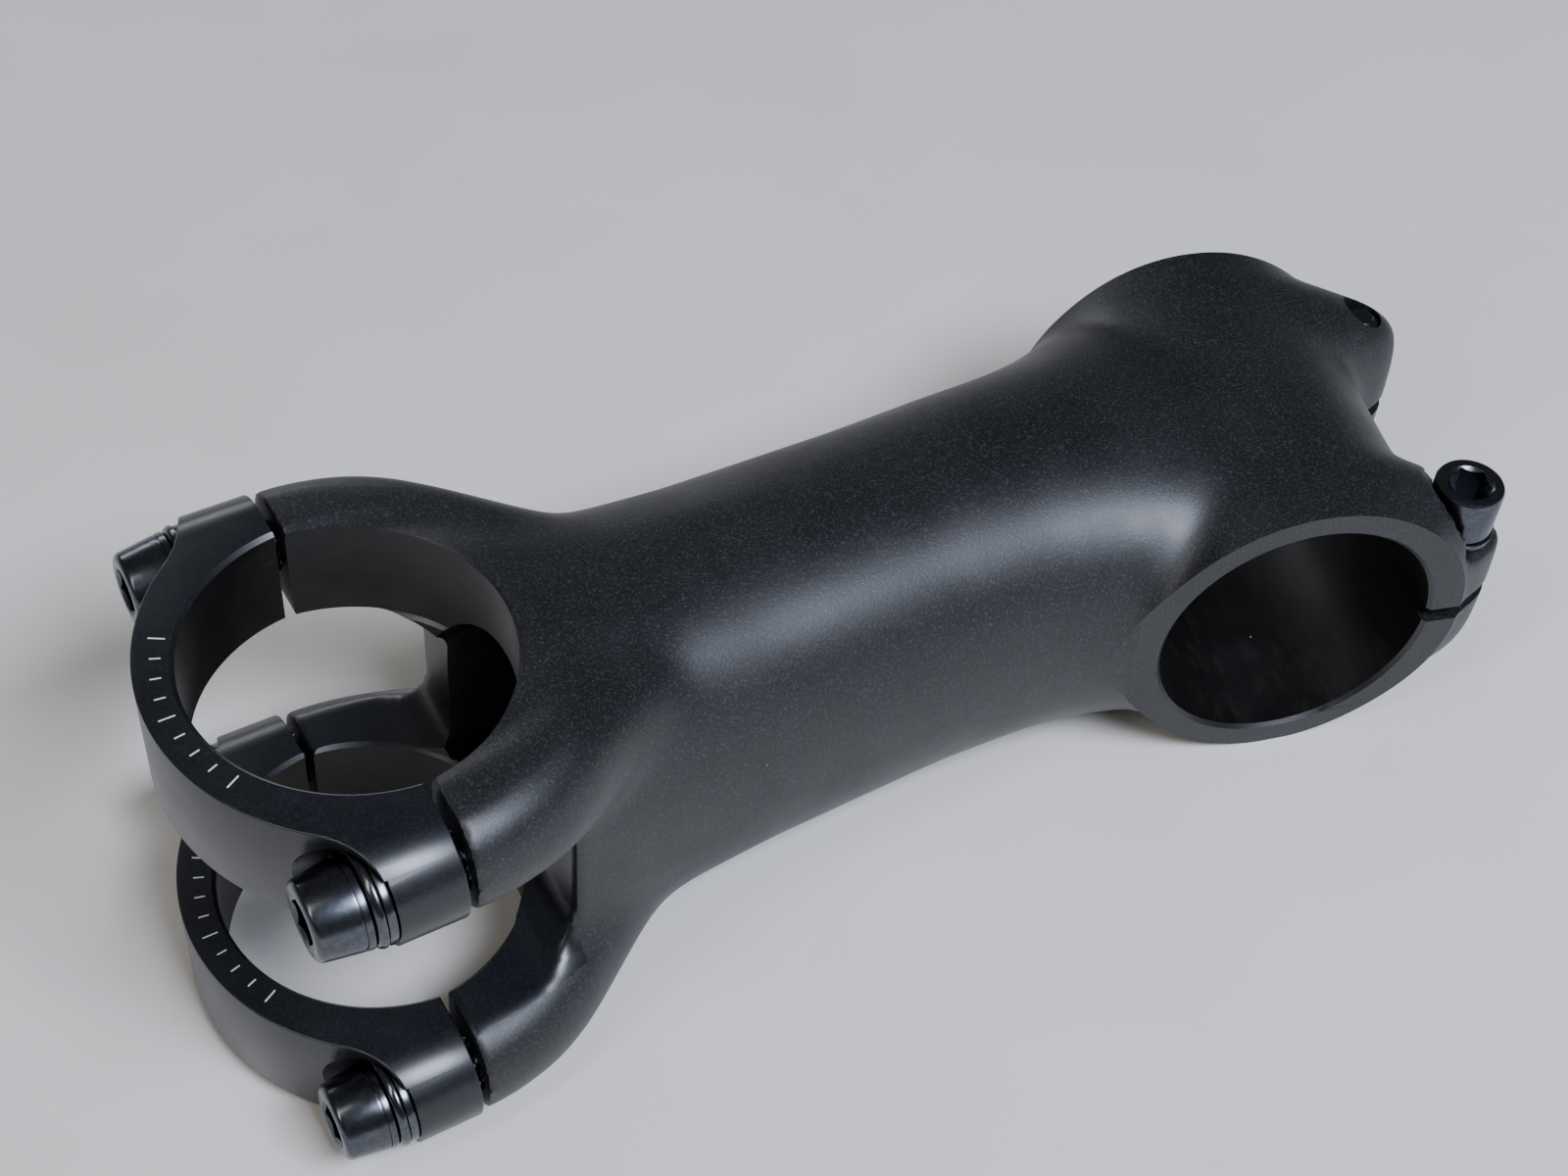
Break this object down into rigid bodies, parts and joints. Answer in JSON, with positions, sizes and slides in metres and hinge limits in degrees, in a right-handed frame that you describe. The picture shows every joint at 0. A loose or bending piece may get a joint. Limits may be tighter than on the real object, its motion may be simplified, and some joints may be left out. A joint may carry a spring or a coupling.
{
  "type": "bicycle handlebar stem",
  "caption": "Hollow forged bicycle stem: split clamp for a fork's steerer tube at one end, handlebar clamp with separate bolted half-ring caps at the other.",
  "frame": {"origin": "under the middle of the object's box, on the surface it lies on", "axes": "+Z along the handlebar's axis, up; +Y along the steerer's axis; +X from the handlebar clamp towards the steerer clamp's back"},
  "size_m": [0.1369, 0.0711, 0.0435],
  "materials": {
    "matte_black": "forged, shot-blasted and black-anodised, fine-grained matte",
    "satin_black": "machined and black-anodised, smooth satin",
    "black_steel": "black-oxide steel, oiled and glossy",
    "dark_steel": "dark plated steel, glossy"
  },
  "bodies": {
    "stem": {"stem_body": "matte_black"},
    "cap_upper": {"bar_cap_upper": "satin_black"},
    "cap_lower": {"bar_cap_lower": "satin_black"},
    "washers_upper_near": {"dished_washer_upper_near": "dark_steel", "flat_washer_upper_near": "dark_steel"},
    "bolt_upper_near": {"cap_bolt_upper_near": "black_steel"},
    "washers_upper_far": {"dished_washer_upper_far": "dark_steel", "flat_washer_upper_far": "dark_steel"},
    "bolt_upper_far": {"cap_bolt_upper_far": "black_steel"},
    "washers_lower_near": {"dished_washer_lower_near": "dark_steel", "flat_washer_lower_near": "dark_steel"},
    "bolt_lower_near": {"cap_bolt_lower_near": "black_steel"},
    "washers_lower_far": {"dished_washer_lower_far": "dark_steel", "flat_washer_lower_far": "dark_steel"},
    "bolt_lower_far": {"cap_bolt_lower_far": "black_steel"},
    "washer_near": {"steerer_washer_near": "dark_steel"},
    "bolt_near": {"steerer_bolt_near": "black_steel"},
    "washer_far": {"steerer_washer_far": "dark_steel"},
    "bolt_far": {"steerer_bolt_far": "black_steel"}
  },
  "joints": [
    {"name": "cap_upper_slide", "type": "slide", "parent": "stem", "child": "cap_upper", "axis": [-0.9563, -0.2924, 0], "range_m": [0, 0.03]},
    {"name": "cap_lower_slide", "type": "slide", "parent": "stem", "child": "cap_lower", "axis": [-0.9563, -0.2924, 0], "range_m": [0, 0.03]},
    {"name": "bolt_upper_near_travel", "type": "slide", "parent": "cap_upper", "child": "washers_upper_near", "axis": [-0.9563, -0.2924, 0], "range_m": [0, 0.012]},
    {"name": "bolt_upper_near_turn", "type": "hinge", "parent": "washers_upper_near", "child": "bolt_upper_near", "pos_m": [-0.04404, -0.02855, 0.03765], "axis": [-0.9563, -0.2924, 0], "range_deg": [0, 5400]},
    {"name": "bolt_upper_far_travel", "type": "slide", "parent": "cap_upper", "child": "washers_upper_far", "axis": [-0.9563, -0.2924, 0], "range_m": [0, 0.012]},
    {"name": "bolt_upper_far_turn", "type": "hinge", "parent": "washers_upper_far", "child": "bolt_upper_far", "pos_m": [-0.05597, 0.01047, 0.03765], "axis": [-0.9563, -0.2924, 0], "range_deg": [0, 5400]},
    {"name": "bolt_lower_near_travel", "type": "slide", "parent": "cap_lower", "child": "washers_lower_near", "axis": [-0.9563, -0.2924, 0], "range_m": [0, 0.012]},
    {"name": "bolt_lower_near_turn", "type": "hinge", "parent": "washers_lower_near", "child": "bolt_lower_near", "pos_m": [-0.04404, -0.02855, 0.00585], "axis": [-0.9563, -0.2924, 0], "range_deg": [0, 5400]},
    {"name": "bolt_lower_far_travel", "type": "slide", "parent": "cap_lower", "child": "washers_lower_far", "axis": [-0.9563, -0.2924, 0], "range_m": [0, 0.012]},
    {"name": "bolt_lower_far_turn", "type": "hinge", "parent": "washers_lower_far", "child": "bolt_lower_far", "pos_m": [-0.05597, 0.01047, 0.00585], "axis": [-0.9563, -0.2924, 0], "range_deg": [0, 5400]},
    {"name": "steerer_bolt_near_travel", "type": "slide", "parent": "stem", "child": "washer_near", "axis": [0, 0, 1], "range_m": [0, 0.0098]},
    {"name": "steerer_bolt_near_turn", "type": "hinge", "parent": "washer_near", "child": "bolt_near", "pos_m": [0.06403, 0.0016, 0.02175], "axis": [0, 0, 1], "range_deg": [0, 5040]},
    {"name": "steerer_bolt_far_travel", "type": "slide", "parent": "stem", "child": "washer_far", "axis": [0, 0, -1], "range_m": [0, 0.0098]},
    {"name": "steerer_bolt_far_turn", "type": "hinge", "parent": "washer_far", "child": "bolt_far", "pos_m": [0.06403, 0.0296, 0.02175], "axis": [0, 0, -1], "range_deg": [0, 5040]}
  ],
  "couplings": [
    {"joint": "bolt_upper_near_turn", "follows": "bolt_upper_near_travel", "rad_per_m": 7854},
    {"joint": "bolt_upper_far_turn", "follows": "bolt_upper_far_travel", "rad_per_m": 7854},
    {"joint": "bolt_lower_near_turn", "follows": "bolt_lower_near_travel", "rad_per_m": 7854},
    {"joint": "bolt_lower_far_turn", "follows": "bolt_lower_far_travel", "rad_per_m": 7854},
    {"joint": "steerer_bolt_near_turn", "follows": "steerer_bolt_near_travel", "rad_per_m": 8976},
    {"joint": "steerer_bolt_far_turn", "follows": "steerer_bolt_far_travel", "rad_per_m": 8976}
  ]
}
